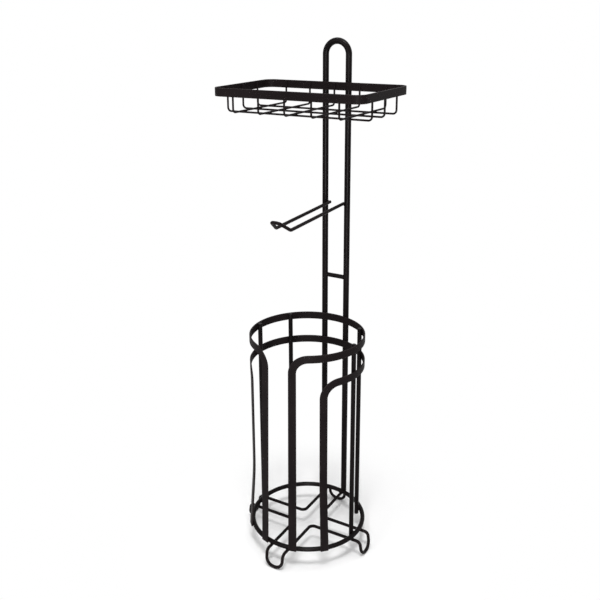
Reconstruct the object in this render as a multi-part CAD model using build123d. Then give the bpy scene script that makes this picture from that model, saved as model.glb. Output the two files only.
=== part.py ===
from build123d import *
import os
from math import asin, atan, cos, degrees, radians, sin, sqrt, tan

# Free-standing toilet roll stand, welded from steel rod, wire and flat strip.
#
# Frame: millimetres, +Z up, the floor at Z = 0, the origin on the floor at the centre of the
# round cage. The open front of the cage faces -Y and the mast stands at +Y. Left is -X, right
# is +X, and the stand is the same on both sides.
#
# From the floor up: a foot wire bent into a cross with four loops, a round base ring, two hooped
# strips and four posts that form the cage for spare rolls, a tall inverted U that is mast and
# handle, a hairpin arm for the roll in use, and a wire tray near the top of the mast.

os.makedirs("parts", exist_ok=True)

# ---------------------------------------------------------------- driving dimensions
# Stock
strip_thickness = 2.0
hoop_strip_width = 9.9
rim_strip_width = 10.1
ring_rod = 6.1
post_rod = 6.0
mast_rod = 8.0
crossbar_rod = 5.9
arm_wire = 4.2
foot_wire = 4.2
tray_wire = 2.4

# Cage for spare rolls
cage_inner_radius = 73.0
upper_hoop_height = 302.8
hoop_clearance = 25.1
upper_upright_angle = 15.2
lower_upright_angle = 45.6
hoop_bend_radius = 15.1
lower_lean_height = 115.0
upright_setback = 1.4
back_post_angle = 49.0
side_post_angle = 93.6
post_tail = 3.6

# Foot wire
foot_clearance = 20.4
foot_channel = 24.4
foot_notch_radius = 7.0
foot_reach = 87.0
foot_lean = 2.8
foot_ankle_radius = 6.0
foot_toe_width = 23.0
foot_toe_radius = 10.8

# Mast
mast_height = 668.0
mast_spacing = 32.3
crossbar_height = 357.4

# Roll arm
arm_height = 458.2
arm_length = 132.8
arm_fall = 3.8
arm_overhang = 2.3
arm_knee_radius = 5.0
arm_tip_angle = 36.5
arm_tip_length = 18.0
arm_tip_radius = 8.0

# Tray
tray_width = 200.4
tray_depth = 127.3
tray_drop = 53.5
tray_corner_radius = 13.0
tray_sag = 20.6
tray_wire_recess = 1.6
tray_wire_bend = 4.5
cross_wire_count = 5
cross_wire_margin = 29.8
long_wire_count = 3
long_wire_margin = 30.6

# ---------------------------------------------------------------- places that follow from them
cage_outer_radius = cage_inner_radius + strip_thickness
post_circle = cage_inner_radius - post_rod / 2
ring_circle = cage_inner_radius + ring_rod / 2

foot_wire_z = foot_clearance + foot_wire / 2
ring_z = foot_wire_z + (foot_wire + ring_rod) / 2
ring_underside = ring_z - ring_rod / 2
lower_hoop_height = upper_hoop_height - hoop_strip_width - hoop_clearance
upper_lean_height = upper_hoop_height - hoop_bend_radius - hoop_strip_width

mast_x = mast_spacing / 2
mast_y = sqrt((cage_outer_radius + mast_rod / 2) ** 2 - mast_x**2)
arm_x = mast_x - (mast_rod + arm_wire) / 2

tray_height = mast_height - tray_drop
tray_back = mast_y - mast_rod / 2
tray_middle = tray_back - tray_depth / 2
cross_wire_pitch = (tray_width - 2 * cross_wire_margin) / (cross_wire_count - 1)
long_wire_pitch = (tray_depth - 2 * long_wire_margin) / (long_wire_count - 1)
long_wire_z = tray_height - rim_strip_width - tray_sag
cross_wire_z = long_wire_z + tray_wire


# ---------------------------------------------------------------- shared operations
def bent_path(points, bend_radii):
    """Straight runs through the points, with a tangent bend of its own radius at each inner point."""
    points = [Vector(*point) for point in points]
    edges = []
    start = points[0]
    for before, corner, after, radius in zip(points, points[1:], points[2:], bend_radii):
        arriving = (corner - before).normalized()
        leaving = (after - corner).normalized()
        setback = radius * tan(radians(arriving.get_angle(leaving)) / 2)
        bend_start = corner - arriving * setback
        bend_end = corner + leaving * setback
        if (bend_start - start).length > 1e-4:
            edges.append(Edge.make_line(start, bend_start))
        edges.append(Edge.make_tangent_arc(bend_start, arriving, bend_end))
        start = bend_end
    if (points[-1] - start).length > 1e-4:
        edges.append(Edge.make_line(start, points[-1]))
    return Wire(edges)


def bent_rod(points, bend_radii, diameter):
    """Round rod bent along straight runs and tangent bends, its ends cut square."""
    path = bent_path(points, bend_radii)
    section = Plane(origin=path @ 0, z_dir=path % 0) * Circle(diameter / 2)
    return sweep(section, path=path)


def straight_rod(start, end, diameter):
    """Straight round rod between two points, its ends cut square."""
    run = Vector(*end) - Vector(*start)
    return extrude(Plane(origin=start, z_dir=run) * Circle(diameter / 2), run.length)


def mirror_path(half):
    """A half path followed by its mirror image across X = 0."""
    return half + [(-x, y, z) for x, y, z in reversed(half)]


def on_circle(radius, angle_from_back, z):
    """Point of a circle round the cage, its angle counted from the back towards the right."""
    angle = radians(angle_from_back)
    return (radius * sin(angle), radius * cos(angle), z)


def save(shape, name):
    """Writes one piece as a single named solid."""
    solid = shape.solid()
    solid.label = name
    export_step(solid, f"parts/{name}.step")


# ---------------------------------------------------------------- foot wire and base ring
def foot_quarter(turn):
    """A quarter of the foot wire: half a notch, an arm, one foot loop, and the same back again.

    It is drawn for the foot at the right. The notches are the bends between neighbouring arms,
    so the four quarters meet end to end in the middle of each notch.
    """
    arm = foot_channel / 2
    notch_middle = arm + foot_notch_radius * (1 - sqrt(0.5))
    notch_end = arm + foot_notch_radius * (1 - tan(radians(22.5)))
    toe = foot_toe_width / 2
    toe_z = foot_wire / 2
    half = [
        (notch_middle, notch_middle, foot_wire_z),
        (notch_end, arm, foot_wire_z),
        (foot_reach, arm, foot_wire_z),
        (foot_reach + foot_lean, toe, toe_z),
    ]
    points = half + [(x, -y, z) for x, y, z in reversed(half)]
    bends = [foot_notch_radius, foot_ankle_radius, foot_toe_radius]
    return Rot(0, 0, turn) * bent_rod(points, bends + bends[::-1], foot_wire)


base_ring = Pos(0, 0, ring_z) * Torus(ring_circle, ring_rod / 2)
save(base_ring, "base_ring")

for side, turn in (("right", 0), ("back", 90), ("left", 180), ("front", 270)):
    save(foot_quarter(turn), f"foot_wire_{side}")


# ---------------------------------------------------------------- hooped strips of the cage
def leaning_wall(lean_height, top):
    """Strip wall all the way round: upright at the top, then leaning out to touch the base ring."""
    lean = tan(2 * atan(ring_rod / 2 / (lean_height - ring_z)))
    bottom = ring_underside + upright_setback
    bottom_radius = cage_inner_radius + lean * (lean_height - bottom)
    profile = Polyline(
        (cage_inner_radius, top),
        (cage_inner_radius, lean_height),
        (bottom_radius, bottom),
        (bottom_radius + strip_thickness, bottom),
        (cage_outer_radius, lean_height),
        (cage_outer_radius, top),
        close=True,
    )
    return revolve(Plane.XZ * make_face(profile), Axis.Z)


def upright_outline(height):
    """Flat outline of one upright, the edge bend at its top and a short start of the hoop."""
    half_width = hoop_strip_width / 2
    outer_bend = hoop_bend_radius + hoop_strip_width
    centre = (half_width + hoop_bend_radius, height - outer_bend)
    stub_end = centre[0] + strip_thickness
    outer = CenterArc(centre, outer_bend, 90, 90)
    inner = CenterArc(centre, hoop_bend_radius, 90, 90)
    upright = Polyline(outer @ 1, (-half_width, 0), (half_width, 0), inner @ 1)
    stub = Polyline(outer @ 0, (stub_end, height), (stub_end, height - hoop_strip_width), inner @ 0)
    return make_face([outer, upright, inner, stub])


def hooped_strip(height, upright_angle, lean_height):
    """One flat strip: upright, edge bend, hoop round the back, edge bend, upright."""
    wall = leaning_wall(lean_height, height + strip_thickness)
    prism = Rot(0, 0, upright_angle) * extrude(Plane.XZ * upright_outline(height), 2 * cage_outer_radius)
    uprights = (wall & prism) + (wall & mirror(prism, about=Plane.YZ))

    bend_reach = hoop_strip_width / 2 + hoop_bend_radius
    hoop_start = upright_angle + degrees(asin(bend_reach / cage_inner_radius))
    section = Pos(cage_inner_radius + strip_thickness / 2, height - hoop_strip_width / 2)
    section *= Rectangle(strip_thickness, hoop_strip_width)
    hoop = revolve(Plane.XZ * section, Axis.Z, 360 - 2 * hoop_start)
    return uprights + Rot(0, 0, hoop_start - 90) * hoop


save(hooped_strip(upper_hoop_height, upper_upright_angle, upper_lean_height), "upper_hoop")
save(hooped_strip(lower_hoop_height, lower_upright_angle, lower_lean_height), "lower_hoop")

for name, angle in (("back", back_post_angle), ("side", side_post_angle)):
    for side, sign in (("right", 1), ("left", -1)):
        foot = on_circle(post_circle, sign * angle, ring_underside - post_tail)
        head = on_circle(post_circle, sign * angle, upper_hoop_height)
        save(straight_rod(foot, head, post_rod), f"post_{name}_{side}")


# ---------------------------------------------------------------- mast and roll arm
mast_crown = mast_height - mast_rod / 2
mast_points = mirror_path([(mast_x, mast_y, ring_z), (mast_x, mast_y, mast_crown)])
mast = bent_rod(mast_points, [mast_x, mast_x], mast_rod) - base_ring
save(mast, "mast")

crossbar_ends = mirror_path([(mast_x, mast_y, crossbar_height)])
save(straight_rod(*crossbar_ends, crossbar_rod) - mast, "mast_crossbar")


def roll_arm():
    """Hairpin welded between the legs of the mast, falling a little to its turned-up closed end."""
    fall = arm_fall / arm_length
    knee_y = mast_y - arm_length
    knee_z = arm_height - arm_fall
    tip = radians(arm_tip_angle)
    half = [
        (arm_x, mast_y + arm_overhang, arm_height + fall * arm_overhang),
        (arm_x, knee_y, knee_z),
        (arm_x, knee_y - arm_tip_length * cos(tip), knee_z + arm_tip_length * sin(tip)),
    ]
    bends = [arm_knee_radius, arm_tip_radius]
    return bent_rod(mirror_path(half), bends + bends[::-1], arm_wire)


save(roll_arm(), "roll_arm")


# ---------------------------------------------------------------- tray
def tray_rim():
    """Flat strip on edge, closed into a rounded rectangle that is welded to the front of the mast."""
    outer = RectangleRounded(tray_width, tray_depth, tray_corner_radius)
    inside_width = tray_width - 2 * strip_thickness
    inside_depth = tray_depth - 2 * strip_thickness
    inner = RectangleRounded(inside_width, inside_depth, tray_corner_radius - strip_thickness)
    return Pos(0, tray_middle, tray_height) * extrude(outer - inner, -rim_strip_width)


def tray_wire_piece(half_span, floor_z):
    """Tray wire along X: a level floor run, turned up at both ends inside the rim."""
    reach = half_span - strip_thickness - tray_wire / 2
    half = [(reach, 0, tray_height - tray_wire_recess), (reach, 0, floor_z)]
    return bent_rod(mirror_path(half), [tray_wire_bend, tray_wire_bend], tray_wire)


save(tray_rim(), "tray_rim")

for number in range(cross_wire_count):
    x = cross_wire_margin - tray_width / 2 + number * cross_wire_pitch
    wire = Pos(x, tray_middle) * Rot(0, 0, 90) * tray_wire_piece(tray_depth / 2, cross_wire_z)
    save(wire, f"tray_cross_wire_{number + 1}")

for number in range(long_wire_count):
    y = tray_back - tray_depth + long_wire_margin + number * long_wire_pitch
    save(Pos(0, y) * tray_wire_piece(tray_width / 2, long_wire_z), f"tray_long_wire_{number + 1}")
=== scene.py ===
"""Dressed model of a free-standing toilet roll stand, set in a plain studio.

The stand is welded from round steel rod, wire and flat strip, and then powder coated. Lengths are
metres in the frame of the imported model: +Z up, the floor at Z = 0, the open front of the cage
towards -Y, left at -X and right at +X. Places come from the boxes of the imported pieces; the sizes
that no box shows are fields of the sub-assemblies.
"""

import sys
import logging
import math
from collections.abc import Iterable, Sequence
from dataclasses import dataclass, field, replace
from enum import Enum
from typing import Any

import bmesh
import bpy
from mathutils import Matrix, Quaternion, Vector, noise


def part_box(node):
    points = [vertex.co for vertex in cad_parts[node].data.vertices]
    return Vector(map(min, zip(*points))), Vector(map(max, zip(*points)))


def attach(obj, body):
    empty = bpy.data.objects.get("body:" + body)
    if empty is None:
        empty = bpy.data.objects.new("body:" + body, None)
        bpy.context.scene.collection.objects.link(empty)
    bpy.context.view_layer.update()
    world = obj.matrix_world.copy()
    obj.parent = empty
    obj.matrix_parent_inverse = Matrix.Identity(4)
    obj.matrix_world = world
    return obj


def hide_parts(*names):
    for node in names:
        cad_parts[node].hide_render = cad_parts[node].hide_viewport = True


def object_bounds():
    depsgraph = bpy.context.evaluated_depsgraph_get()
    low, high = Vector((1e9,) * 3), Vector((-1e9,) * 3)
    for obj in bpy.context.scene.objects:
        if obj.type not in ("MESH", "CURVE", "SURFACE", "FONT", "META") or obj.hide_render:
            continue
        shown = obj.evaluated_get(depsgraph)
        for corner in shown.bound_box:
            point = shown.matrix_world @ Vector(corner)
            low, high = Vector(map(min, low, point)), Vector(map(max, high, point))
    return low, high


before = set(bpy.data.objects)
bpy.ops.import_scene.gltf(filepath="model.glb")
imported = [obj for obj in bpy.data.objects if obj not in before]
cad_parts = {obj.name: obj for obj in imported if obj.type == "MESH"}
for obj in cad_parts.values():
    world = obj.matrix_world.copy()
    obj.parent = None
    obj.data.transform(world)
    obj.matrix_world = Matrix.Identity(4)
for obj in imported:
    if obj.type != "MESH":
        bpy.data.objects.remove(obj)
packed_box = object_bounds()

log = logging.getLogger("roll_stand")

Colour = tuple[float, float, float, float]
Triple = tuple[float, float, float]

BODY = "root"
THINNING = "coat_thinning"
WHITE: Colour = (1.0, 1.0, 1.0, 1.0)
UP = Vector((0.0, 0.0, 1.0))
LEVEL = Matrix.Identity(3).freeze()
SIDES = (-1, 1)
QUARTERS = ((1, 1), (-1, 1), (-1, -1), (1, -1))
QUARTER_TURNS = [Matrix.Rotation(quarter * math.pi / 2, 3, "Z") for quarter in range(4)]

# Longest steps of the meshes: along straight runs and uprights in metres, and round bends, the
# rim's corners, and the ring and the hoops in degrees.
RUN_STEP = 0.012
UPRIGHT_STEP = 0.008
BEND_STEP = 5.0
CORNER_STEP = 7.5
ROUND_STEP = 3.0

# Ripples of the beads of weld: their height as a share of the bead, how closely they follow each
# other on it, how quickly they change from bead to bead, and how thin the coat lies on a bead.
RIPPLE_HEIGHT = 0.10
RIPPLE_PITCH = 2.2
RIPPLE_CHANGE = 900.0
BEAD_THINNING = 0.25


# ---------------- shader graphs
class Signal:
    """An output socket that takes part in Python arithmetic, which adds Math nodes to its graph."""

    def __init__(self, graph: "ShaderGraph", socket: bpy.types.NodeSocket) -> None:
        """Wrap one output socket of a graph."""
        self.graph = graph
        self.socket = socket

    def _math(self, operation: str, first: "Signal | float", second: "Signal | float") -> "Signal":
        """Result of a Math node."""
        sockets = {"Value": first, "Value_001": second}
        return self.graph.node("ShaderNodeMath", {"operation": operation}, sockets)["Value"]

    def __add__(self, other: "Signal | float") -> "Signal":
        """self + other."""
        return self._math("ADD", self, other)

    def __radd__(self, other: float) -> "Signal":
        """other + self."""
        return self._math("ADD", other, self)

    def __sub__(self, other: "Signal | float") -> "Signal":
        """self - other."""
        return self._math("SUBTRACT", self, other)

    def __rsub__(self, other: float) -> "Signal":
        """other - self."""
        return self._math("SUBTRACT", other, self)

    def __mul__(self, other: "Signal | float") -> "Signal":
        """self * other."""
        return self._math("MULTIPLY", self, other)

    def __rmul__(self, other: float) -> "Signal":
        """other * self."""
        return self._math("MULTIPLY", other, self)

    def larger(self, other: "Signal | float") -> "Signal":
        """The larger of self and other."""
        return self._math("MAXIMUM", self, other)

    def ramp(self, low: float, high: float) -> "Signal":
        """Smooth rise from 0 to 1 as the signal passes from low to high."""
        smooth, span = {"interpolation_type": "SMOOTHSTEP"}, {"From Min": low, "From Max": high}
        return self.graph.node("ShaderNodeMapRange", smooth, {"Value": self} | span)["Result"]


class GraphNode:
    """A node whose outputs are read by name as signals."""

    def __init__(self, graph: "ShaderGraph", node: bpy.types.Node) -> None:
        """Wrap a node of a graph."""
        self.graph = graph
        self.node = node

    def __getitem__(self, name: str) -> Signal:
        """The output socket of that identifier or name."""
        return Signal(self.graph, find_socket(self.node.outputs, name))


@dataclass(frozen=True)
class Grain:
    """Soft noise of one size in a finish.

    Attributes:
        size: Width of one blotch.
        octaves: Octaves of finer noise on top.
        dulling: Change of the roughness from 0 to 1 of the noise.
        span: Values of the noise between which a colour changes.
        fineness: Strength of each octave against the one before.
    """

    size: float
    octaves: float
    dulling: float = 0.0
    span: tuple[float, float] = (0.25, 0.75)
    fineness: float = 0.55


class ShaderGraph:
    """A node tree of a material or of the world, emptied and then filled node by node."""

    def __init__(self, owner: "bpy.types.Material | bpy.types.World") -> None:
        """Empty the owner's node tree.

        Args:
            owner: The material or world that is filled.
        """
        owner.use_nodes = True
        self.tree = owner.node_tree
        self.tree.nodes.clear()

    def node(self, kind: str, settings: dict[str, Any], sockets: dict[str, Any]) -> GraphNode:
        """Add any node.

        Args:
            kind: Blender's type name of the node.
            settings: Properties of the node, set first.
            sockets: Values or signals for its input sockets, by identifier or name.

        Returns:
            The new node.
        """
        node = self.tree.nodes.new(kind)
        for name, setting in settings.items():
            setattr(node, name, setting)
        for name, value in sockets.items():
            target = find_socket(node.inputs, name)
            if isinstance(value, Signal):
                self.tree.links.new(value.socket, target)
            else:
                target.default_value = value
        return GraphNode(self, node)

    def grain(self, place: Signal, grain: Grain) -> Signal:
        """Noise from 0 to 1 over a place in metres."""
        scale = {"Scale": 1 / grain.size, "Detail": grain.octaves, "Roughness": grain.fineness}
        return self.node("ShaderNodeTexNoise", {}, {"Vector": place} | scale)["Fac"]

    def blend(self, share: "Signal | float", first: Any, second: Any) -> Signal:
        """Mix of two colours, which is the second one at a share of 1."""
        sockets = {"Factor_Float": share, "A_Color": first, "B_Color": second}
        return self.node("ShaderNodeMix", {"data_type": "RGBA"}, sockets)["Result_Color"]

    def mix(self, share: "Signal | float", first: Signal, second: Signal) -> Signal:
        """Mix of two shaders, which is the second one at a share of 1."""
        sockets = {"Fac": share, "Shader": first, "Shader_001": second}
        return self.node("ShaderNodeMixShader", {}, sockets)["Shader"]


def find_socket(sockets: Iterable[bpy.types.NodeSocket], name: str) -> bpy.types.NodeSocket:
    """The socket in use that has an identifier or, failing that, a name."""
    in_use = [socket for socket in sockets if socket.enabled]
    return next(one for key in ("identifier", "name") for one in in_use if getattr(one, key) == name)


def add_object(name: str, data: bpy.types.ID) -> bpy.types.Object:
    """Put a mesh, lamp or camera into the scene as an object.

    Args:
        name: Name of the object.
        data: The mesh, lamp or camera.

    Returns:
        The object.
    """
    made = bpy.data.objects.new(name, data)
    bpy.context.scene.collection.objects.link(made)
    return made


# ---------------- finishes
@dataclass(frozen=True)
class PowderCoat:
    """Satin powder coat on steel, with orange peel, a fine grit and thinner coat on its edges.

    Attributes:
        slot: Material slot of the record that the finish belongs to.
        roughness: Middle value of the roughness.
        specular: Specular level of the coat.
        deep: Colour where the coat lies thickest.
        tone: Colour of the coat.
        edge: Colour where the coat thins out over an edge.
        cloud: Slow change from the deep colour to the tone.
        peel: Dimples of the orange peel.
        grit: Grains of the grit.
        wear: Patches in which the coat of an edge is thin.
        wear_share: How much of the edge colour shows there.
        relief_depth: Height of the orange peel and the grit.
        grit_share: Share of the grit in that relief.
    """

    slot: str
    roughness: float
    specular: float
    deep: Colour = (0.0048, 0.0034, 0.0036, 1.0)
    tone: Colour = (0.0080, 0.0057, 0.0060, 1.0)
    edge: Colour = (0.0220, 0.0168, 0.0170, 1.0)
    cloud: Grain = Grain(0.045, octaves=3.0, dulling=0.10)
    peel: Grain = Grain(0.0026, octaves=2.0)
    grit: Grain = Grain(0.0005, octaves=1.0, dulling=0.08)
    wear: Grain = Grain(0.006, octaves=4.0, dulling=-0.06, span=(0.30, 0.70))
    wear_share: float = 0.75
    relief_depth: float = 0.000014
    grit_share: float = 0.25

    def material(self) -> bpy.types.Material:
        """Return the finish as a material, built the first time it is asked for."""
        name = f"{self.slot}_coat"
        return bpy.data.materials.get(name) or self._build(name)

    def _build(self, name: str) -> bpy.types.Material:
        """Build the material.

        Args:
            name: Name of the material.

        Returns:
            The new material.
        """
        material = bpy.data.materials.new(name)
        graph = ShaderGraph(material)
        place = graph.node("ShaderNodeTexCoord", {}, {})["Object"]
        cloud = graph.grain(place, self.cloud)
        peel = graph.grain(place, self.peel)
        grit = graph.grain(place, self.grit)
        thin = graph.node("ShaderNodeAttribute", {"attribute_name": THINNING}, {})["Fac"]
        worn = thin * graph.grain(place, self.wear).ramp(*self.wear.span)

        coat = graph.blend(cloud.ramp(*self.cloud.span), self.deep, self.tone)
        colour = graph.blend(self.wear_share * worn, coat, self.edge)
        dulling = self.cloud.dulling * (cloud - 0.5) + self.grit.dulling * (grit - 0.5)
        relief = (1 - self.grit_share) * peel + self.grit_share * grit
        bump = {"Height": relief, "Distance": self.relief_depth, "Strength": 1.0}
        sockets = {
            "Base Color": colour,
            "Roughness": self.roughness + dulling + self.wear.dulling * worn,
            "Specular IOR Level": self.specular,
            "Normal": graph.node("ShaderNodeBump", {}, bump)["Normal"],
        }
        surface = graph.node("ShaderNodeBsdfPrincipled", {}, sockets)["BSDF"]
        graph.node("ShaderNodeOutputMaterial", {}, {"Surface": surface})
        return material


class Coat(Enum):
    """The stand's finishes, one for each material slot of the record."""

    ROD = PowderCoat(
        "painted_rod",
        roughness=0.28,
        specular=0.045,
        # Same paint as the strips and wires, but these colours are darker: painted shade for the dark sides
        # of the round rods.
        deep=(0.0032, 0.0024, 0.0025, 1.0),
        tone=(0.0056, 0.0042, 0.0044, 1.0),
    )
    STRIP = PowderCoat("painted_strip", roughness=0.48, specular=0.040)
    WIRE = PowderCoat("painted_wire", roughness=0.36, specular=0.035)


# ---------------- sections and stations
@dataclass(frozen=True)
class SectionPoint:
    """One point of a section.

    Attributes:
        across: Distance along the section's first axis.
        outward: Distance along the section's second axis.
        thinning: How thin the coat lies here, from 0 to 1.
    """

    across: float
    outward: float
    thinning: float


@dataclass(frozen=True)
class RoundSection:
    """Section of a round rod.

    Attributes:
        diameter: Diameter of the coated rod.
        sides: Number of points round it.
        softening: Rounding of a sawn end, as a share of the radius.
    """

    diameter: float
    sides: int = 24
    softening: float = 0.3

    @property
    def end_radius(self) -> float:
        """Rounding of the rod's ends."""
        return self.softening * self.diameter / 2

    def outline(self, inset: float) -> list[SectionPoint]:
        """Points of the section, drawn in by an inset.

        Args:
            inset: How far every point moves towards the middle.

        Returns:
            The points in order.
        """
        radius = max(self.diameter / 2 - inset, 0.0)
        thinning = min(inset / self.end_radius, 1.0)
        turns = [2 * math.pi * side / self.sides for side in range(self.sides)]
        return [SectionPoint(radius * math.cos(t), radius * math.sin(t), thinning) for t in turns]


@dataclass(frozen=True)
class StripSection:
    """Section of a flat strip with softened edges, its inner face on the second axis' zero.

    Attributes:
        width: Width of the strip.
        thickness: Thickness of the strip.
        end_radius: Rounding of its four edges and of its ends.
        thinnings: How thin the coat lies at the points round one edge.
        support: Distance from an edge to the next point of the face, as a share of the rounding.
    """

    width: float
    thickness: float
    end_radius: float = 0.00045
    thinnings: tuple[float, ...] = (0.6, 1.0, 1.0, 1.0, 0.6)
    support: float = 0.6

    def outline(self, inset: float) -> list[SectionPoint]:
        """Points of the section, drawn in by an inset.

        Args:
            inset: How far every side moves towards the middle.

        Returns:
            The points in order.
        """
        half_width = max(self.width / 2 - inset, 0.0)
        half_thick = max(self.thickness / 2 - inset, 0.0)
        edge = min(self.end_radius, half_width, half_thick)
        support = min(self.support * edge, max(half_width - edge, 0.0) / 2)
        middle = self.thickness / 2
        points = []
        for quarter, (side, face) in enumerate(QUARTERS):
            x = side * (half_width - edge)
            y = middle + face * (half_thick - edge)
            corner = []
            for step, thinning in enumerate(self.thinnings):
                turn = math.pi / 2 * (quarter + step / (len(self.thinnings) - 1))
                across, outward = x + edge * math.cos(turn), y + edge * math.sin(turn)
                corner.append(SectionPoint(across, outward, thinning))
            rest = SectionPoint(x - side * support, middle + face * half_thick, 0.0)
            points += corner + [rest] if quarter in (0, 2) else [rest] + corner
        return points


Section = RoundSection | StripSection


@dataclass
class Station:
    """A place along a sweep that puts section points into space.

    Attributes:
        origin: Middle of the section's axes.
        across: Direction of the section's first axis.
        outward: Direction of the section's second axis.
        inset: How far the section is drawn in here.
    """

    origin: Vector
    across: Vector
    outward: Vector
    inset: float = 0.0

    def place(self, point: SectionPoint) -> Vector:
        """Put a section point into space."""
        return self.origin + point.across * self.across + point.outward * self.outward


@dataclass
class CageWall:
    """Round wall that the hoops follow: upright at the top, then leaning out to clear the ring.

    Attributes:
        radius: Inner radius of the upright part.
        knee: Height at which the wall starts to lean.
        lean: How far it leans out for each unit of height.
        softness: Height over which it bends.
    """

    radius: float
    knee: float
    lean: float
    softness: float = 0.006

    def radius_at(self, height: float) -> float:
        """Radius of the wall's inner face at a height, by a ramp that is rounded at the knee."""
        below = (self.knee - height) / self.softness
        return self.radius + self.lean * self.softness * (max(below, 0) + math.log1p(math.exp(-abs(below))))


@dataclass
class WallStation:
    """A place along a strip that lies against the round wall of the cage.

    Attributes:
        wall: The wall.
        angle: Angle of the station's origin, from the front towards the right.
        run: Distance from there along the wall.
        height: Height of the strip's middle line.
        across: Direction of the strip's width, as a run along the wall and a rise.
        inset: How far the section is drawn in here.
        side: 1, or -1 for the mirror image on the left.
    """

    wall: CageWall
    angle: float
    run: float
    height: float
    across: tuple[float, float] = (1.0, 0.0)
    inset: float = 0.0
    side: int = 1

    def place(self, point: SectionPoint) -> Vector:
        """Put a section point into space.

        Args:
            point: The point.

        Returns:
            Its place against the wall.
        """
        run = self.run + point.across * self.across[0]
        height = self.height + point.across * self.across[1]
        radius = self.wall.radius_at(height) + point.outward
        angle = self.angle + math.asin(run / self.wall.radius)
        return Vector((self.side * radius * math.sin(angle), -radius * math.cos(angle), height))


def shares(length: float, pitch: float) -> list[float]:
    """Shares of a length, from 0 to 1, in the fewest equal steps that are no longer than the pitch."""
    steps = math.ceil(length / pitch)
    return [step / steps for step in range(steps + 1)]


def softened_end(radius: float, facets: int = 4, inner_ring: float = 1.3) -> list[tuple[float, float]]:
    """Set the section back and draw it in for a rounded end.

    Args:
        radius: Rounding of the end.
        facets: Number of facets of the rounding.
        inner_ring: Inset of a ring inside the flat end face, as a share of the rounding.

    Returns:
        Pairs of setback and inset from the end inwards, the first of them that ring.
    """
    turns = [math.pi / 2 * facet / facets for facet in range(facets, -1, -1)]
    rounding = [(radius * (1 - math.sin(t)), radius * (1 - math.cos(t))) for t in turns]
    return [(0.0, inner_ring * radius)] + rounding


class Bead(Enum):
    """Half sizes of the beads of weld: out of, along and up a round wall, or in X, Y and Z."""

    ARM_UNDER_RING = (0.0028, 0.0021, 0.0009)
    POST_ON_HOOP = (0.0009, 0.0025, 0.0038)
    POST_ON_RING = (0.0010, 0.0027, 0.0027)
    UPRIGHT_ON_RING = (0.0008, 0.0043, 0.0018)
    HOOP_ON_MAST = (0.0009, 0.0030, 0.0040)
    MAST_ON_RING = (0.0026, 0.0044, 0.0024)
    CROSSBAR_ON_MAST = (0.0013, 0.0032, 0.0032)
    ROLL_ARM_ON_MAST = (0.0008, 0.0030, 0.0026)
    RIM_ON_MAST = (0.0030, 0.0009, 0.0042)
    CROSS_WIRE_ON_RIM = (0.0011, 0.0006, 0.0038)
    LONG_WIRE_ON_RIM = (0.0006, 0.0011, 0.0038)
    WIRE_ON_WIRE = (0.0012, 0.0012, 0.0005)


@dataclass
class Draft:
    """Points, faces and coat thinning of one piece while it is built.

    Attributes:
        points: Its points.
        thinning: How thin the coat lies at each of them.
        faces: Its faces, as numbers of points.
    """

    points: list[Vector] = field(default_factory=list)
    thinning: list[float] = field(default_factory=list)
    faces: list[tuple[int, ...]] = field(default_factory=list)

    @classmethod
    def swept(
        cls, section: Section, stations: Sequence[Station | WallStation], closed: bool = False
    ) -> "Draft":
        """Skin a section swept through its stations.

        Args:
            section: What is swept.
            stations: Where it passes.
            closed: Whether the last station joins the first; else both ends are capped.

        Returns:
            The draft.
        """
        draft = cls()
        for station in stations:
            outline = section.outline(station.inset)
            draft.points += [station.place(point) for point in outline]
            draft.thinning += [point.thinning for point in outline]
        size = len(draft.points) // len(stations)
        rings = [range(size * n, size * (n + 1)) for n in range(len(stations))]
        joins = list(zip(rings, rings[1:] + rings[:1]))
        for ring, after in joins if closed else joins[:-1]:
            for side in range(size):
                beside = (side + 1) % size
                draft.faces.append((ring[side], ring[beside], after[beside], after[side]))
        if not closed:
            draft.faces += [tuple(reversed(rings[0])), tuple(rings[-1])]
        return draft

    def bead(self, bead: Bead, centre: Vector, axes: Matrix = LEVEL) -> None:
        """Add a small lump of weld that fills the crevice of a joint.

        Args:
            bead: Which lump.
            centre: Middle of the joint.
            axes: Axes of its half sizes, as the columns of a matrix.
        """
        lump = bmesh.new()
        bmesh.ops.create_icosphere(lump, subdivisions=3, radius=1.0)
        start = len(self.points)
        for vertex in lump.verts:
            ripple = RIPPLE_HEIGHT * noise.noise(RIPPLE_PITCH * vertex.co + RIPPLE_CHANGE * centre)
            direction = (1 + ripple) * vertex.co
            self.points.append(centre + axes @ (direction * Vector(bead.value)))
            self.thinning.append(BEAD_THINNING)
        self.faces += [tuple(start + vertex.index for vertex in face.verts) for face in lump.faces]
        lump.free()

    def mesh(self, name: str) -> bpy.types.Mesh:
        """Turn the draft into a smooth mesh.

        Args:
            name: Name of the mesh.

        Returns:
            The mesh, with the coat thinning as an attribute.
        """
        mesh = bpy.data.meshes.new(name)
        mesh.from_pydata(self.points, [], self.faces)
        attribute = mesh.attributes.new(THINNING, "FLOAT", "POINT")
        attribute.data.foreach_set("value", self.thinning)
        shaped = bmesh.new()
        shaped.from_mesh(mesh)
        bmesh.ops.recalc_face_normals(shaped, faces=shaped.faces)
        shaped.to_mesh(mesh)
        shaped.free()
        mesh.shade_smooth()
        return mesh


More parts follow.
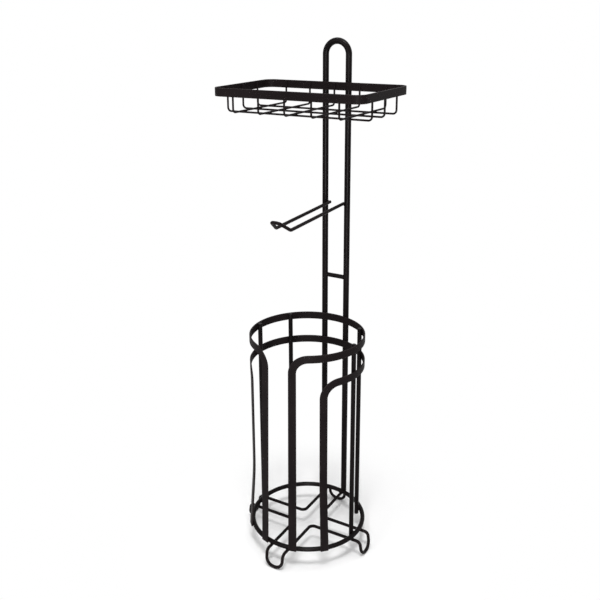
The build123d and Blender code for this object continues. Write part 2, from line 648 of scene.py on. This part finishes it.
@dataclass
class BentRod:
    """Round rod along straight runs and tangent bends.

    Attributes:
        section: Section of the rod.
        corners: Where the straight runs would meet, with the two ends of an open rod.
        bends: Bend radius at each corner, or at each inner one of an open rod.
        closed: Whether the rod is welded into an endless loop.
        least_gap: Distance below which two points are one.
    """

    section: RoundSection
    corners: list[Vector]
    bends: Sequence[float] = ()
    closed: bool = False
    least_gap: float = 1e-6

    def draft(self) -> Draft:
        """Draft the rod, with rounded ends on an open one."""
        return Draft.swept(self.section, self._stations(), self.closed)

    def _stations(self) -> list[Station]:
        """Set stations along the rod.

        Returns:
            The stations, drawn in towards the ends of an open rod.
        """
        line = self._line()
        tangents = self._tangents(line)
        frames = zip(line, self._normals(tangents), tangents)
        stations = [Station(point, normal, tangent.cross(normal)) for point, normal, tangent in frames]
        if self.closed:
            return stations
        first, last = stations[0], stations[-1]
        ends = softened_end(self.section.end_radius)
        head = [replace(first, origin=first.origin + tangents[0] * back, inset=i) for back, i in ends]
        tail = [replace(last, origin=last.origin - tangents[-1] * back, inset=i) for back, i in ends]
        return head + stations[1:-1] + tail[::-1]

    def _line(self) -> list[Vector]:
        """Lay points along the runs and bends.

        Returns:
            The points, none of them further apart than a step.
        """
        first, last = self.corners[:1], self.corners[-1:]
        if self.closed:
            turns = zip(last + self.corners[:-1], self.corners, self.corners[1:] + first, self.bends)
        else:
            turns = zip(self.corners, self.corners[1:], self.corners[2:], self.bends)
        bent = [point for turn in turns for point in self._bend(*turn)]
        return self._even(bent + bent[:1])[:-1] if self.closed else self._even(first + bent + last)

    def _bend(self, before: Vector, corner: Vector, after: Vector, radius: float) -> list[Vector]:
        """Lay points round the bend at a corner.

        Args:
            before: The corner or end before it.
            corner: The corner.
            after: The corner or end after it.
            radius: Bend radius.

        Returns:
            The points.
        """
        arriving = (corner - before).normalized()
        leaving = (after - corner).normalized()
        turn = arriving.angle(leaving)
        start = corner - arriving * radius * math.tan(turn / 2)
        inward = (leaving - arriving * arriving.dot(leaving)).normalized()
        turns = [turn * share for share in shares(math.degrees(turn), BEND_STEP)]
        return [start + inward * radius * (1 - math.cos(t)) + arriving * radius * math.sin(t) for t in turns]

    def _even(self, line: list[Vector]) -> list[Vector]:
        """Divide long runs and drop points that lie together.

        Args:
            line: Points along the rod.

        Returns:
            The points with none further apart than a step.
        """
        even = line[:1]
        for point in line[1:]:
            gap = (point - even[-1]).length
            if gap > self.least_gap:
                even += [even[-1].lerp(point, share) for share in shares(gap, RUN_STEP)[1:]]
        return even

    def _tangents(self, line: list[Vector]) -> list[Vector]:
        """Direction of the rod at each point."""
        head, tail = (line[-1:], line[:1]) if self.closed else (line[:1], line[-1:])
        return [(after - before).normalized() for before, after in zip(head + line[:-1], line[1:] + tail)]

    def _normals(self, tangents: list[Vector]) -> list[Vector]:
        """Turn a normal as little as can be from point to point, closing without a twist.

        Args:
            tangents: Direction of the rod at each point.

        Returns:
            A normal at each point.
        """
        normals = [tangents[0].orthogonal().normalized()]
        for before, after in zip(tangents, tangents[1:]):
            normal = before.rotation_difference(after) @ normals[-1]
            normals.append((normal - after * normal.dot(after)).normalized())
        if not self.closed:
            return normals
        last = tangents[-1].rotation_difference(tangents[0]) @ normals[-1]
        side = tangents[0].cross(normals[0])
        slip = math.atan2(last.dot(side), last.dot(normals[0])) / len(normals)
        pairs = enumerate(zip(tangents, normals))
        return [Quaternion(tangent, -slip * n) @ normal for n, (tangent, normal) in pairs]


class SubAssembly:
    """What the sub-assemblies share: making a draft a coated piece of the stand."""

    @staticmethod
    def piece(name: str, draft: Draft, coat: Coat, *nodes: str) -> None:
        """Make a draft a piece.

        Args:
            name: Name of the piece.
            draft: Its mesh.
            coat: Its finish.
            nodes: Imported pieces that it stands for.
        """
        mesh = draft.mesh(name)
        mesh.materials.append(coat.value.material())
        made = add_object(name, mesh)
        if nodes:
            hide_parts(*nodes)
        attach(made, BODY)
        log.info("%s: %d points, %d faces", name, len(mesh.vertices), len(mesh.polygons))


def box_middle(node: str) -> Vector:
    """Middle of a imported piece's box."""
    low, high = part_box(node)
    return (low + high) / 2


def round_the_axis(radius: float, angle: float, height: float) -> Vector:
    """Point at a radius from the stand's axis, its angle counted from the back towards the right."""
    return Vector((radius * math.sin(angle), radius * math.cos(angle), height))


def wall_axes(angle: float) -> Matrix:
    """Axes out of, along and up a round wall, at an angle from the back towards the right."""
    sine, cosine = math.sin(angle), math.cos(angle)
    return Matrix(((sine, cosine, 0.0), (cosine, -sine, 0.0), UP)).transposed()


# ---------------- base
@dataclass
class Base(SubAssembly):
    """Round base ring on one foot wire, bent into a cross with a loop at each of its four ends.

    Attributes:
        wire: Diameter of the foot wire.
        channel: Distance between the two runs of an arm.
        notch_bend: Bend radius between neighbouring arms.
        lean: How far the feet lean out.
        ankle_bend: Bend radius where a foot turns down.
        toe_width: Width of a foot between the middles of the wire.
        toe_bend: Bend radius of a foot's two lower corners.
    """

    wire: float = 0.0042
    channel: float = 0.0244
    notch_bend: float = 0.0070
    lean: float = 0.0028
    ankle_bend: float = 0.0060
    toe_width: float = 0.0230
    toe_bend: float = 0.0108

    def __post_init__(self) -> None:
        """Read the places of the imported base."""
        low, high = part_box("base_ring")
        self.ring_rod = high.z - low.z
        self.ring_circle = (high.x - low.x - self.ring_rod) / 2
        self.ring_z = (high.z + low.z) / 2
        low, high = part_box("foot_wire_right")
        self.toe_reach = high.x - self.wire / 2
        self.toe_z = low.z + self.wire / 2
        self.arm_z = high.z - self.wire / 2

    def build(self) -> None:
        """Build the ring, the foot wire and their welds."""
        self._ring()
        self._foot_wire()
        self._welds()

    def _ring(self) -> None:
        """Build the ring."""
        stations = []
        for share in shares(360.0, ROUND_STEP)[:-1]:
            middle = round_the_axis(self.ring_circle, 2 * math.pi * share, 0.0)
            stations.append(Station(middle + self.ring_z * UP, UP, middle.normalized()))
        ring = Draft.swept(RoundSection(self.ring_rod), stations, closed=True)
        self.piece("base_ring_coated", ring, Coat.ROD, "base_ring")

    def _foot_wire(self) -> None:
        """Build the foot wire as one endless wire."""
        arm = self.channel / 2
        toe = self.toe_width / 2
        ankle_x = self.toe_reach - self.lean
        foot = [
            (ankle_x, -arm, self.arm_z),
            (self.toe_reach, -toe, self.toe_z),
            (self.toe_reach, toe, self.toe_z),
            (ankle_x, arm, self.arm_z),
            (arm, arm, self.arm_z),
        ]
        bends = [self.ankle_bend, self.toe_bend, self.toe_bend, self.ankle_bend, self.notch_bend]
        corners = [turn @ Vector(corner) for turn in QUARTER_TURNS for corner in foot]
        wire = BentRod(RoundSection(self.wire, sides=20), corners, bends * 4, closed=True)
        nodes = [f"foot_wire_{side}" for side in ("front", "right", "back", "left")]
        self.piece("foot_wire_coated", wire.draft(), Coat.WIRE, *nodes)

    def _welds(self) -> None:
        """Build the beads between the ring and the foot wire that it lies on."""
        arm = self.channel / 2
        across = math.sqrt(self.ring_circle**2 - arm**2)
        draft = Draft()
        for turn in QUARTER_TURNS:
            for side in SIDES:
                contact = Vector((across, side * arm, self.arm_z + self.wire / 2))
                draft.bead(Bead.ARM_UNDER_RING, turn @ contact, turn)
        self.piece("base_welds", draft, Coat.ROD)


# ---------------- cage
@dataclass
class HoopedStrip:
    """One flat strip: upright, edge bend, hoop round the back, edge bend, upright.

    Attributes:
        section: Section of the strip.
        wall: Wall that it follows.
        top: Height of the hoop's upper edge.
        bottom: Height of the uprights' lower ends.
        angle: Angle of the uprights from the front, in radians.
        bend: Inner radius of the edge bends.
    """

    section: StripSection
    wall: CageWall
    top: float
    bottom: float
    angle: float
    bend: float

    def draft(self) -> Draft:
        """Draft the strip from its right upright over the back to its left one."""
        right = self._right_half()
        return Draft.swept(self.section, right + [replace(station, side=-1) for station in right[-2::-1]])

    def _right_half(self) -> list[WallStation]:
        """Set stations from the foot of the right upright to the middle of the back.

        Returns:
            The stations.
        """
        half = self.section.width / 2
        middle_bend = self.bend + half
        bend_start = self.top - self.bend - self.section.width
        stations = []
        for back, inset in softened_end(self.section.end_radius):
            stations.append(WallStation(self.wall, self.angle, 0.0, self.bottom + back, inset=inset))
        rise = bend_start - self.bottom
        for share in shares(rise, UPRIGHT_STEP)[1:-1]:
            stations.append(WallStation(self.wall, self.angle, 0.0, self.bottom + rise * share))
        for share in shares(90.0, BEND_STEP):
            turn = math.pi / 2 * share
            run = middle_bend * (1 - math.cos(turn))
            height = bend_start + middle_bend * math.sin(turn)
            across = (math.cos(turn), -math.sin(turn))
            stations.append(WallStation(self.wall, self.angle, run, height, across))
        start = self.angle + math.asin(middle_bend / self.wall.radius)
        for share in shares(math.degrees(math.pi - start), ROUND_STEP)[1:]:
            angle = start + (math.pi - start) * share
            stations.append(WallStation(self.wall, angle, 0.0, self.top - half, (0.0, -1.0)))
        return stations


@dataclass
class Cage(SubAssembly):
    """Two hooped strips and four posts that hold the spare rolls.

    Attributes:
        base: The base that carries the cage.
        strip_width: Width of the strips.
        strip_thickness: Thickness of the strips.
        bend: Inner radius of the strips' edge bends.
        upper_angle: Angle of the upper hoop's uprights from the front, in degrees.
        lower_angle: Angle of the lower hoop's uprights from the front, in degrees.
        lower_lean_top: Height at which the lower hoop's uprights start to lean out.
    """

    base: Base
    strip_width: float = 0.0099
    strip_thickness: float = 0.0020
    bend: float = 0.0151
    upper_angle: float = 15.2
    lower_angle: float = 45.6
    lower_lean_top: float = 0.115

    def __post_init__(self) -> None:
        """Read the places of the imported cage."""
        self.hoop_boxes = {name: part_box(name) for name in ("upper_hoop", "lower_hoop")}
        self.hoop_middles = [high.z - self.strip_width / 2 for low, high in self.hoop_boxes.values()]
        self.inner_radius = self.base.ring_circle - self.base.ring_rod / 2
        self.post_nodes = [f"post_{row}_{side}" for row in ("back", "side") for side in ("left", "right")]

    def build(self) -> None:
        """Build the hoops, the posts and their welds."""
        bend_start = self.hoop_boxes["upper_hoop"][1].z - self.bend - self.strip_width
        self._hoop("upper_hoop", self.upper_angle, bend_start)
        self._hoop("lower_hoop", self.lower_angle, self.lower_lean_top)
        for node in self.post_nodes:
            self._post(node)
        self._welds()

    def _hoop(self, node: str, angle: float, lean_top: float) -> None:
        """Build a hooped strip.

        Args:
            node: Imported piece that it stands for.
            angle: Angle of its uprights from the front, in degrees.
            lean_top: Height at which its uprights start to lean out, to touch the base ring.
        """
        low, high = self.hoop_boxes[node]
        half_lean = math.atan(self.base.ring_rod / 2 / (lean_top - self.base.ring_z))
        wall = CageWall(self.inner_radius, lean_top, math.tan(2 * half_lean))
        section = StripSection(self.strip_width, self.strip_thickness)
        strip = HoopedStrip(section, wall, high.z, low.z, math.radians(angle), self.bend)
        self.piece(f"{node}_coated", strip.draft(), Coat.STRIP, node)

    def _post(self, node: str) -> None:
        """Build a post.

        Args:
            node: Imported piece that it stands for.
        """
        low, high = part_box(node)
        middle = (low + high) / 2
        ends = [Vector((middle.x, middle.y, z)) for z in (low.z, high.z)]
        post = BentRod(RoundSection(high.x - low.x), ends)
        self.piece(f"{node}_coated", post.draft(), Coat.ROD, node)

    def _welds(self) -> None:
        """Build the beads of the posts and of the uprights' feet."""
        draft = Draft()
        for node in self.post_nodes:
            middle = box_middle(node)
            angle = math.atan2(middle.x, middle.y)
            for height in self.hoop_middles:
                at = round_the_axis(self.inner_radius, angle, height)
                draft.bead(Bead.POST_ON_HOOP, at, wall_axes(angle))
            at = round_the_axis(self.inner_radius, angle, self.base.ring_z)
            draft.bead(Bead.POST_ON_RING, at, wall_axes(angle))
        outer = self.base.ring_circle + self.base.ring_rod / 2
        for from_front in (self.upper_angle, self.lower_angle):
            for side in SIDES:
                angle = side * math.radians(180 - from_front)
                at = round_the_axis(outer, angle, self.base.ring_z)
                draft.bead(Bead.UPRIGHT_ON_RING, at, wall_axes(angle))
        self.piece("cage_welds", draft, Coat.ROD)


# ---------------- mast and roll arm
@dataclass
class Mast(SubAssembly):
    """Tall inverted U that is mast and handle, with one crossbar.

    Attributes:
        cage: The cage that the mast is welded to.
        foot_bead_out: How far the weld of a foot lies outside the middle of the base ring's rod.
        foot_bead_up: How far it lies above it.
    """

    cage: Cage
    foot_bead_out: float = 0.0015
    foot_bead_up: float = 0.0012

    def __post_init__(self) -> None:
        """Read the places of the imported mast."""
        low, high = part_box("mast")
        self.rod_size = high.y - low.y
        self.leg_x = (high.x - low.x - self.rod_size) / 2
        self.y = (high.y + low.y) / 2
        self.foot_z = low.z
        self.crown_z = high.z - self.rod_size / 2
        low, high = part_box("mast_crossbar")
        self.crossbar_rod = high.y - low.y
        self.crossbar_z = (high.z + low.z) / 2

    def build(self) -> None:
        """Build the mast, the crossbar and their welds."""
        left = [Vector((-self.leg_x, self.y, z)) for z in (self.foot_z, self.crown_z)]
        right = [Vector((self.leg_x, self.y, z)) for z in (self.crown_z, self.foot_z)]
        mast = BentRod(RoundSection(self.rod_size, sides=32), left + right, [self.leg_x] * 2)
        self.piece("mast_coated", mast.draft(), Coat.ROD, "mast")
        # The bar's ends are sunk into the legs by a quarter of the legs' rod.
        reach = self.leg_x - self.rod_size / 4
        ends = [Vector((side * reach, self.y, self.crossbar_z)) for side in SIDES]
        bar = BentRod(RoundSection(self.crossbar_rod), ends)
        self.piece("mast_crossbar_coated", bar.draft(), Coat.ROD, "mast_crossbar")
        self._welds()

    def _welds(self) -> None:
        """Build the beads of the crossbar, of the hoops and of the mast's feet."""
        draft = Draft()
        base = self.cage.base
        outer = self.cage.inner_radius + self.cage.strip_thickness
        for side in SIDES:
            bar_end = side * (self.leg_x - self.rod_size / 2)
            draft.bead(Bead.CROSSBAR_ON_MAST, Vector((bar_end, self.y, self.crossbar_z)))
            angle = side * math.atan2(self.leg_x, self.y)
            for height in self.cage.hoop_middles:
                draft.bead(Bead.HOOP_ON_MAST, round_the_axis(outer, angle, height), wall_axes(angle))
            radius = base.ring_circle + self.foot_bead_out
            at = round_the_axis(radius, angle, base.ring_z + self.foot_bead_up)
            draft.bead(Bead.MAST_ON_RING, at, wall_axes(angle))
        self.piece("mast_welds", draft, Coat.ROD)


@dataclass
class RollArm(SubAssembly):
    """Hairpin of wire between the legs of the mast, its closed end turned up and narrowed.

    Attributes:
        mast: The mast that carries it.
        wire: Diameter of the wire.
        height: Height of the arm's middle line at the mast.
        length: Distance from the mast to the knee.
        fall: How far the arm falls over that length.
        overhang: How far the wire's ends stand out behind the mast's middle.
        knee_bend: Bend radius at the knee.
        tip_angle: Rise of the closed end, in degrees.
        tip_length: How far the closed end reaches past the knee.
        tip_width: Distance between the wire's middles at the closed end, less than at the knee.
        tip_bend: Bend radius of its two corners.
    """

    mast: Mast
    wire: float = 0.0042
    height: float = 0.4582
    length: float = 0.1328
    fall: float = 0.0038
    overhang: float = 0.0023
    knee_bend: float = 0.0060
    tip_angle: float = 33.2
    tip_length: float = 0.0220
    tip_width: float = 0.0104
    tip_bend: float = 0.0048

    def build(self) -> None:
        """Build the arm and its welds."""
        low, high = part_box("roll_arm")
        run_x = (high.x - low.x - self.wire) / 2
        slope = self.fall / self.length
        knee = Vector((run_x, self.mast.y - self.length, self.height - self.fall))
        tip = math.radians(self.tip_angle)
        rise = self.tip_length * Vector((0.0, -math.cos(tip), math.sin(tip)))
        rise.x = self.tip_width / 2 - run_x
        back = Vector((run_x, self.mast.y + self.overhang, self.height + slope * self.overhang))
        right = [back, knee, knee + rise]
        left = [Vector((-corner.x, corner.y, corner.z)) for corner in reversed(right)]
        bends = [self.knee_bend, self.tip_bend, self.tip_bend, self.knee_bend]
        arm = BentRod(RoundSection(self.wire, sides=20), right + left, bends)
        self.piece("roll_arm_coated", arm.draft(), Coat.WIRE, "roll_arm")

        draft = Draft()
        contact = self.mast.leg_x - self.mast.rod_size / 2
        for side in SIDES:
            draft.bead(Bead.ROLL_ARM_ON_MAST, Vector((side * contact, self.mast.y, self.height)))
        self.piece("roll_arm_welds", draft, Coat.WIRE)


# ---------------- tray
@dataclass
class Tray(SubAssembly):
    """Strip rim with a grid of wires slung under it.

    Attributes:
        mast: The mast that carries the tray.
        strip_thickness: Thickness of the rim's strip.
        corner: Outer radius of the rim's corners.
        wire: Diameter of the wires.
        wire_bend: Bend radius where a wire turns up.
        cross_wires: Number of wires from front to back.
        long_wires: Number of wires from side to side.
    """

    mast: Mast
    strip_thickness: float = 0.0020
    corner: float = 0.0130
    wire: float = 0.0024
    wire_bend: float = 0.0045
    cross_wires: int = 5
    long_wires: int = 3

    def __post_init__(self) -> None:
        """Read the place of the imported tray."""
        self.low, self.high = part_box("tray_rim")
        self.middle = (self.low + self.high) / 2
        self.cross_nodes = [f"tray_cross_wire_{n}" for n in range(1, self.cross_wires + 1)]
        self.long_nodes = [f"tray_long_wire_{n}" for n in range(1, self.long_wires + 1)]

    def build(self) -> None:
        """Build the rim, its wires and their welds."""
        self._rim()
        for node in self.cross_nodes:
            self._wire(node, Vector((0, 1, 0)))
        for node in self.long_nodes:
            self._wire(node, Vector((1, 0, 0)))
        self._welds()

    def _rim(self) -> None:
        """Build the rim."""
        half = (self.high - self.low) / 2
        radius = self.corner - self.strip_thickness
        stations = []
        for quarter, (x, y) in enumerate(QUARTERS):
            centre = self.middle + Vector((x * (half.x - self.corner), y * (half.y - self.corner), 0.0))
            for share in shares(90.0, CORNER_STEP):
                turn = math.pi / 2 * (quarter + share)
                outward = Vector((math.cos(turn), math.sin(turn), 0.0))
                stations.append(Station(centre + radius * outward, UP, outward))
        section = StripSection(2 * half.z, self.strip_thickness)
        rim = Draft.swept(section, self._divided(stations), closed=True)
        self.piece("tray_rim_coated", rim, Coat.STRIP, "tray_rim")

    def _divided(self, stations: list[Station]) -> list[Station]:
        """Add stations along the straight sides of the rim.

        Args:
            stations: Stations of its corners.

        Returns:
            The stations with none further apart than a step.
        """
        divided = []
        for before, after in zip(stations, stations[1:] + stations[:1]):
            for share in shares((after.origin - before.origin).length, RUN_STEP)[:-1]:
                divided.append(replace(before, origin=before.origin.lerp(after.origin, share)))
        return divided

    def _wire(self, node: str, along: Vector) -> None:
        """Build a wire, level in the middle and turned up at both ends.

        Args:
            node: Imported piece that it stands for.
            along: Direction of its level run.
        """
        low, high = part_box(node)
        middle = (low + high) / 2
        reach = ((high - low).dot(along) - self.wire) / 2
        floor_z = low.z + self.wire / 2
        corners = []
        for side, height in ((-1, high.z), (-1, floor_z), (1, floor_z), (1, high.z)):
            at = middle + side * reach * along
            corners.append(Vector((at.x, at.y, height)))
        wire = BentRod(RoundSection(self.wire, sides=16), corners, [self.wire_bend] * 2)
        self.piece(f"{node}_coated", wire.draft(), Coat.WIRE, node)

    def _welds(self) -> None:
        """Build the beads of the rim and the wires."""
        draft = Draft()
        for side in SIDES:
            draft.bead(Bead.RIM_ON_MAST, Vector((side * self.mast.leg_x, self.high.y, self.middle.z)))
        cross_x = [box_middle(node).x for node in self.cross_nodes]
        long_y = [box_middle(node).y for node in self.long_nodes]
        for x in cross_x:
            for y in (self.low.y + self.strip_thickness, self.high.y - self.strip_thickness):
                draft.bead(Bead.CROSS_WIRE_ON_RIM, Vector((x, y, self.middle.z)))
        for y in long_y:
            for x in (self.low.x + self.strip_thickness, self.high.x - self.strip_thickness):
                draft.bead(Bead.LONG_WIRE_ON_RIM, Vector((x, y, self.middle.z)))
        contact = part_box(self.long_nodes[0])[0].z + self.wire
        for x in cross_x:
            for y in long_y:
                draft.bead(Bead.WIRE_ON_WIRE, Vector((x, y, contact)))
        self.piece("tray_welds", draft, Coat.WIRE)


# ---------------- studio
@dataclass(frozen=True)
class Lamp:
    """A large soft lamp that faces the stand.

    Attributes:
        name: Name of the lamp.
        place: Where it stands.
        width: Width of its face.
        height: Height of its face.
        power: Power in watts.
    """

    name: str
    place: Triple
    width: float
    height: float
    power: float

    def build(self, target: Vector) -> None:
        """Hang the lamp.

        Args:
            target: Point that it faces.
        """
        light = bpy.data.lights.new(self.name, "AREA")
        light.shape = "RECTANGLE"
        light.size = self.width
        light.size_y = self.height
        light.energy = self.power
        made = add_object(self.name, light)
        made.location = self.place
        made.rotation_euler = (target - made.location).to_track_quat("-Z", "Y").to_euler()


@dataclass(frozen=True)
class Floor:
    """Pale floor that keeps the stand's shadow and is lost in the white around it.

    Attributes:
        half_size: Half the width of the floor.
        segments: Number of fields along each side.
        colour: Colour of the floor.
        glow: Colour that the floor adds to what the camera sees of it.
        glow_strength: Strength of that colour.
        glow_share: How much of it shows close to the stand.
        fade: Distances from the stand between which the floor fades into the white.
    """

    half_size: float = 3.0
    segments: int = 12
    colour: Colour = (0.88, 0.88, 0.88, 1.0)
    glow: Colour = (1.0, 0.985, 0.99, 1.0)
    glow_strength: float = 1.30
    glow_share: float = 0.05
    fade: tuple[float, float] = (0.095, 0.26)

    def build(self) -> None:
        """Lay the floor."""
        sheet = bmesh.new()
        segments = {"x_segments": self.segments, "y_segments": self.segments}
        bmesh.ops.create_grid(sheet, size=self.half_size, **segments)
        mesh = bpy.data.meshes.new("studio_floor")
        sheet.to_mesh(mesh)
        sheet.free()
        mesh.materials.append(self._material())
        floor = add_object("studio_floor", mesh)

    def _material(self) -> bpy.types.Material:
        """Build the floor's material.

        Returns:
            The material: matt to every ray, with a glow and a fade that only the camera sees.
        """
        material = bpy.data.materials.new("pale_floor")
        graph = ShaderGraph(material)
        place = graph.node("ShaderNodeTexCoord", {}, {})["Object"]
        distance = graph.node("ShaderNodeVectorMath", {"operation": "LENGTH"}, {"Vector": place})["Value"]
        matt = graph.node("ShaderNodeBsdfDiffuse", {}, {"Color": self.colour})["BSDF"]
        glow = {"Color": self.glow, "Strength": self.glow_strength}
        glowing = graph.node("ShaderNodeEmission", {}, glow)["Emission"]
        white = graph.node("ShaderNodeEmission", {}, {"Color": WHITE, "Strength": 1.0})["Emission"]
        close_by = graph.mix(self.glow_share, matt, glowing)
        seen = graph.mix(distance.ramp(*self.fade), close_by, white)
        by_camera = graph.node("ShaderNodeLightPath", {}, {})["Is Camera Ray"]
        graph.node("ShaderNodeOutputMaterial", {}, {"Surface": graph.mix(by_camera, matt, seen)})
        return material


@dataclass(frozen=True)
class Surround:
    """White surround for what is seen, and a plain light from all round for the stand.

    Attributes:
        light: Strength of the light from all round.
    """

    light: float = 0.16

    def build(self) -> None:
        """Set the world up."""
        world = bpy.data.worlds.new("studio_surround")
        bpy.context.scene.world = world
        graph = ShaderGraph(world)
        rays = graph.node("ShaderNodeLightPath", {}, {})
        seen = rays["Is Camera Ray"].larger(rays["Is Glossy Ray"]).larger(rays["Is Transmission Ray"])
        dim, full = [
            graph.node("ShaderNodeBackground", {}, {"Color": WHITE, "Strength": strength})["Background"]
            for strength in (self.light, 1.0)
        ]
        graph.node("ShaderNodeOutputWorld", {}, {"Surface": graph.mix(seen, dim, full)})


@dataclass(frozen=True)
class Viewpoint:
    """Camera in front of the stand, to its right and a little above its tray.

    Attributes:
        place: Where the camera stands.
        right: Direction of the picture's right side.
        up: Direction of the picture's upper side.
        sensor: Width of the sensor in millimetres.
        lens: Focal length in millimetres.
        shift: Shift of the picture across and up, as a share of the sensor.
        clip: Nearest and furthest distance that it sees.
    """

    place: Triple = (0.484871, -0.841933, 0.708495)
    right: Triple = (0.857788, 0.513924, -0.009061)
    up: Triple = (-0.149905, 0.266991, 0.951969)
    sensor: float = 36.0
    lens: float = 48.610
    shift: tuple[float, float] = (0.014303, -0.060481)
    clip: tuple[float, float] = (0.02, 50.0)

    def build(self) -> None:
        """Set the camera up."""
        data = bpy.data.cameras.new("studio_camera")
        data.sensor_width = self.sensor
        data.lens = self.lens
        data.shift_x, data.shift_y = self.shift
        data.clip_start, data.clip_end = self.clip
        camera = add_object("studio_camera", data)
        right, up = Vector(self.right), Vector(self.up)
        axes = Matrix((right, up, right.cross(up))).transposed()
        camera.matrix_world = Matrix.Translation(self.place) @ axes.to_4x4()
        bpy.context.scene.camera = camera


@dataclass(frozen=True)
class Studio:
    """Camera, floor, surround and lamps.

    Attributes:
        lamps: The lamps.
    """

    lamps: tuple[Lamp, ...] = (
        Lamp("key_lamp", (0.90, -1.60, 0.31), width=0.12, height=0.56, power=28.0),
        Lamp("fill_lamp", (-0.65, -1.75, 1.0), width=1.0, height=1.0, power=9.0),
        Lamp("top_lamp", (0.38, -0.66, 2.1), width=0.45, height=0.45, power=22.0),
        Lamp("wide_lamp", (0.0, 0.0, 1.9), width=1.5, height=1.5, power=19.0),
    )

    def build(self) -> None:
        """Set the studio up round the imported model."""
        bpy.context.scene.view_settings.view_transform = "Standard"
        for part in (Viewpoint(), Floor(), Surround()):
            part.build()
        target = (packed_box[0] + packed_box[1]) / 2
        for lamp in self.lamps:
            lamp.build(target)


def main() -> None:
    """Build the stand from the floor up, then its studio."""
    logging.basicConfig(level=logging.INFO, format="%(name)s %(message)s", stream=sys.stdout)
    base = Base()
    cage = Cage(base)
    mast = Mast(cage)
    for sub_assembly in (base, cage, mast, RollArm(mast), Tray(mast)):
        sub_assembly.build()
    Studio().build()


if __name__ == "__main__":
    main()
